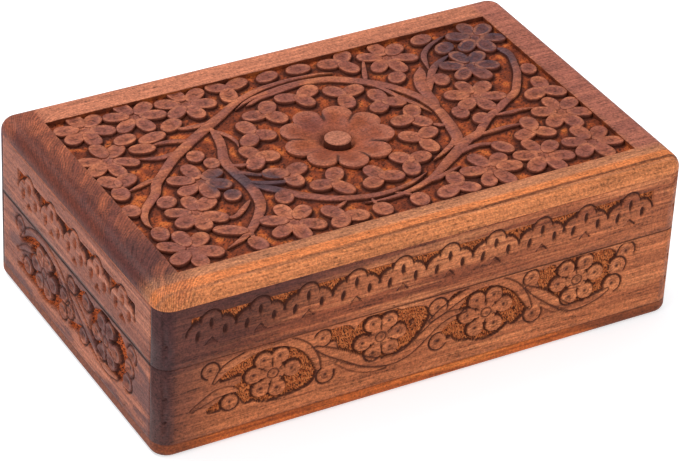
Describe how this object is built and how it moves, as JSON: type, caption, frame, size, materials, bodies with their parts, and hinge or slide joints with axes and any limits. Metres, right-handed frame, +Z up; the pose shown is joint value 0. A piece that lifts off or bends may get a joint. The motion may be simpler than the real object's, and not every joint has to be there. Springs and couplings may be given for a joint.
{
  "type": "wooden puzzle box",
  "caption": "Oblong hand-carved wooden keepsake box with rounded corners, floral panel in the lid, hinged back and a hidden slide bolt worked from underneath.",
  "frame": {"origin": "centre of the underside of the base board", "axes": "+X along the front, to the right when facing the front; +Y from the front to the hinged back; +Z up"},
  "size_m": [0.208, 0.131, 0.0653],
  "materials": {
    "top_wood": "oiled satin, punched rust-brown ground in the carved panel",
    "wall_wood": "oiled satin, darker towards the left front corner",
    "base_wood": "oiled satin",
    "inner_wood": "planed, unfinished",
    "brass": "satin",
    "steel": "dull wire steel"
  },
  "bodies": {
    "case": {"base_board": "base_wood", "body_front_wall": "wall_wood", "body_back_wall": "wall_wood", "body_left_wall": "wall_wood", "body_right_wall": "wall_wood", "body_corner_brads": "steel", "base_brads": "steel", "hinge_left_body_leaf": "brass", "hinge_left_pin": "steel", "hinge_right_body_leaf": "brass", "hinge_right_pin": "steel", "hinge_body_screws": "brass", "lock_guide_block": "inner_wood"},
    "lid": {"lid_top_board": "top_wood", "lid_front_wall": "wall_wood", "lid_back_wall": "wall_wood", "lid_left_wall": "wall_wood", "lid_right_wall": "wall_wood", "lid_corner_brads": "steel", "hinge_left_lid_leaf": "brass", "hinge_right_lid_leaf": "brass", "hinge_lid_screws": "brass", "lock_keeper_block": "inner_wood", "lock_keeper_tongue": "brass", "lock_keeper_screws": "brass"},
    "slide_bolt": {"lock_slide_bolt": "inner_wood", "lock_finger_plate": "base_wood", "lock_plate_screws": "brass"}
  },
  "joints": [
    {"name": "lid_hinge", "type": "hinge", "parent": "case", "child": "lid", "pos_m": [0, 0.0635, 0.03635], "axis": [-1, 0, 0], "range_deg": [0, 104]},
    {"name": "bolt_slide", "type": "slide", "parent": "case", "child": "slide_bolt", "axis": [-1, 0, 0], "range_m": [0, 0.007]}
  ]
}
